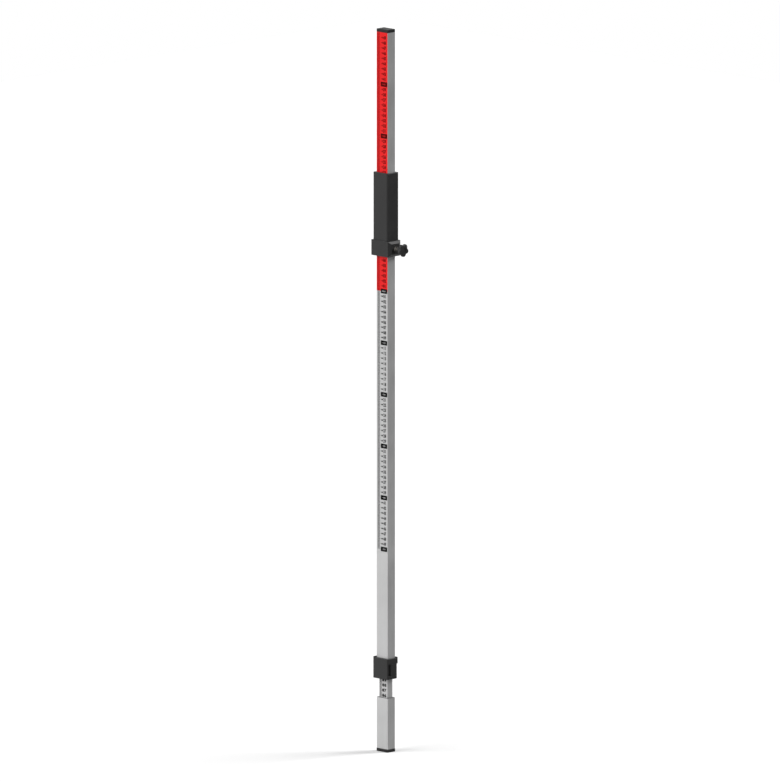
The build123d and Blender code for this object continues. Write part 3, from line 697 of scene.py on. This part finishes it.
# A flat grid, one wide and one long, is wound round the stud's axis; its first and last row close the ends.
# The shares are those of half a pitch where the crest ends and the root begins.
crest_share, root_share = 0.125, 0.75
sheet = add(thread, "GeometryNodeMeshGrid", {
    "Size X": 1.0, "Size Y": 1.0, "Vertices X": given.outputs["Around"], "Vertices Y": given.outputs["Rows"]})
spot = add(thread, "GeometryNodeInputPosition")
axes = add(thread, "ShaderNodeSeparateXYZ", {"Vector": spot.outputs["Position"]})
round_share = reckon(thread, "ADD", axes.outputs["X"], 0.5)
long_share = reckon(thread, "ADD", axes.outputs["Y"], 0.5)
along = reckon(thread, "MULTIPLY", long_share, given.outputs["Length"])
lead = reckon(thread, "SUBTRACT", reckon(thread, "DIVIDE", along, given.outputs["Pitch"]), round_share)
groove = reckon(thread, "PINGPONG", reckon(thread, "MULTIPLY", lead, 2.0), 1.0)
cut = ranged(thread, groove, crest_share, root_share, 0.0, given.outputs["Depth"])
flank = reckon(thread, "SUBTRACT", given.outputs["Radius"], cut)
past_tip = reckon(thread, "GREATER_THAN", along, given.outputs["Tip length"])
wide = add(thread, "GeometryNodeSwitch", {
    "Switch": past_tip, "False": given.outputs["Tip radius"], "True": flank}, input_type="FLOAT")
inside = reckon(thread, "LESS_THAN", reckon(thread, "ABSOLUTE", axes.outputs["Y"]), 0.49999)
reach = reckon(thread, "MULTIPLY", wide.outputs["Output"], inside)
angle = reckon(thread, "MULTIPLY", round_share, 2 * math.pi)
across = reckon(thread, "MULTIPLY", reach, reckon(thread, "COSINE", angle))
above = reckon(thread, "MULTIPLY", reach, reckon(thread, "SINE", angle))
wound = add(thread, "ShaderNodeCombineXYZ", {"X": along, "Y": across, "Z": above})
spotted = add(thread, "ShaderNodeVectorMath", {0: wound.outputs["Vector"], 1: given.outputs["Start"]})
rolled = add(thread, "GeometryNodeSetPosition", {
    "Geometry": sheet.outputs["Mesh"], "Position": spotted.outputs["Vector"]})
closed = add(thread, "GeometryNodeMergeByDistance", {
    "Geometry": rolled.outputs["Geometry"], "Distance": 2 * weld})
made_real(thread, closed.outputs["Geometry"], given.outputs["Metal"])
stud_low, stud_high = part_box("clamp_stud")
stud_radius = (stud_high.z - stud_low.z) / 2
stud_length = stud_high.x - stud_low.x
tip_length, tip_radius = 1.5 * mm, 2.2 * mm
thread_pitch = 1.0 * mm
thread_depth = 0.61 * thread_pitch
rows_each_turn, points_around = 10, 41
stud = grown_piece("threaded_stud", bpy.data.meshes.new("threaded_stud"), thread, thread_keys, {
    "Start": (stud_low.x, (stud_low.y + stud_high.y) / 2, (stud_low.z + stud_high.z) / 2),
    "Length": stud_length, "Radius": stud_radius, "Tip length": tip_length, "Tip radius": tip_radius,
    "Pitch": thread_pitch, "Depth": thread_depth, "Around": points_around,
    "Rows": round(stud_length / thread_pitch * rows_each_turn) + 1, "Metal": zinc_steel},
    frame["nodes"]["clamp_stud"]["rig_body"])
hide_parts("clamp_stud")

# Star knob
# A five-lobed knob of black ABS moulded on the stud's end.
# Its lobes are well rounded and its face has a shallow dish.
smooth_piece("star_knob", black_abs)

# Floor
# A plain studio floor, white to the eye and in reflections, and greyer as a source of bounced light,
# so that the staff's sides stay in their own shade.


def seen_share(tree):
    """One on the rays that show the studio, to the eye, in reflections or through a piece, else nought."""
    path = add(tree, "ShaderNodeLightPath")
    eye = reckon(tree, "MAXIMUM", path.outputs["Is Camera Ray"], path.outputs["Is Glossy Ray"])
    return reckon(tree, "MAXIMUM", eye, path.outputs["Is Transmission Ray"])


floor_mesh = bpy.data.meshes.new("floor")
floor_reach = 6.0
floor_mesh.from_pydata([
    (-floor_reach, -floor_reach, 0), (floor_reach, -floor_reach, 0), (floor_reach, floor_reach, 0),
    (-floor_reach, floor_reach, 0)], [], [(0, 1, 2, 3)])
floor = linked("floor", floor_mesh)
# White paint: dead matt.
pale, tree = blank_material("floor_white_paint")
shaded(tree, "ShaderNodeBsdfDiffuse", {"Color": blend(tree, seen_share(tree), "8a8a8a", "ebebeb")})
floor_mesh.materials.append(pale)

# Studio card
# A folded dark card at the staff's right-hand back corner, one leaf upright and one on the floor. Only
# reflections see it: it keeps the white floor out of the right-hand faces, which are dark from here.
card_mesh = bpy.data.meshes.new("studio_card")
card_turn = math.radians(41)
card_start, card_fold, card_half, card_height = 0.025, 0.15, 0.09, 1.55
card_out = Vector((math.cos(card_turn), math.sin(card_turn), 0))
card_side = Vector((-card_out.y, card_out.x, 0)) * card_half
card_off_floor = Vector((0, 0, 0.5 * mm))
card_near = card_out * card_start + card_off_floor
card_foot = card_out * card_fold + card_off_floor
card_lift = Vector((0, 0, card_height))
card_mesh.from_pydata([
    card_foot - card_side, card_foot + card_side, card_foot + card_side + card_lift,
    card_foot - card_side + card_lift, card_near - card_side, card_near + card_side],
    [], [(0, 1, 2, 3), (4, 5, 1, 0)])
card = linked("studio_card", card_mesh)
card.visible_camera = False
card.visible_diffuse = False
card.visible_shadow = False
card.visible_transmission = False
# Graded paper: dull, mid grey at its foot and near black at its top.
paper, tree = blank_material("card_graded_paper")
height = add(tree, "ShaderNodeSeparateXYZ", {"Vector": object_place(tree)}).outputs["Z"]
fade = ranged(tree, height, 0.0, card_height, 0.0, 1.0)
shaded(tree, "ShaderNodeBsdfDiffuse", {"Color": blend(tree, fade, "8a8a8a", "3a3a3a")})
card_mesh.materials.append(paper)

# Studio walls
# The white walls round the staff, far enough off to be even.
# They are white to the eye and in reflections, and dimmer as a light.
world = bpy.data.worlds.new("studio")
bpy.context.scene.world = world
world.use_nodes = True
tree = world.node_tree
tree.nodes.clear()
wall_light = ranged(tree, seen_share(tree), 0.0, 1.0, 0.38, 1.0)
sky = add(tree, "ShaderNodeBackground", {"Color": (1, 1, 1, 1), "Strength": wall_light})
add(tree, "ShaderNodeOutputWorld", {"Surface": sky.outputs["Background"]})

# Lamps
# A soft key from the front left above, and a second light from the back right above that catches the
# sloped faces.


def lamp(name, towards, strength, spread):
    """A soft studio light from far away, standing in that direction from the staff."""
    light = bpy.data.lights.new(name, "SUN")
    light.energy = strength
    light.angle = math.radians(spread)
    holder = linked(name, light)
    holder.rotation_mode = "QUATERNION"
    holder.rotation_quaternion = Vector(towards).to_track_quat("Z", "Y")
    holder.location = Vector(towards) * 3


lamp("key", (-0.35, -0.75, 0.56), 2.4, 55)
lamp("back", (0.38, 0.70, 0.60), 2.6, 28)

# Camera
# A very long lens that looks from the front right and a little from above.
# It is far away, so that the staff's edges run parallel and it stands upright in the frame.
camera_data = bpy.data.cameras.new("camera")
camera_data.lens = 1600
camera_data.sensor_width = 36
camera_data.clip_end = 100
camera = linked("camera", camera_data)
bpy.context.scene.camera = camera
azimuth = math.radians(45)
elevation = math.radians(10.1)
target = Vector((5.6 * mm, 5.6 * mm, 700 * mm))
frame_width = 1490 * mm
distance = frame_width / camera_data.sensor_width * camera_data.lens
away = Vector((math.sin(azimuth) * math.cos(elevation), -math.cos(azimuth) * math.cos(elevation),
               math.sin(elevation)))
camera.location = target + away * distance
camera.rotation_mode = "QUATERNION"
camera.rotation_quaternion = away.to_track_quat("Z", "Y")

bpy.context.scene.view_settings.view_transform = "Standard"
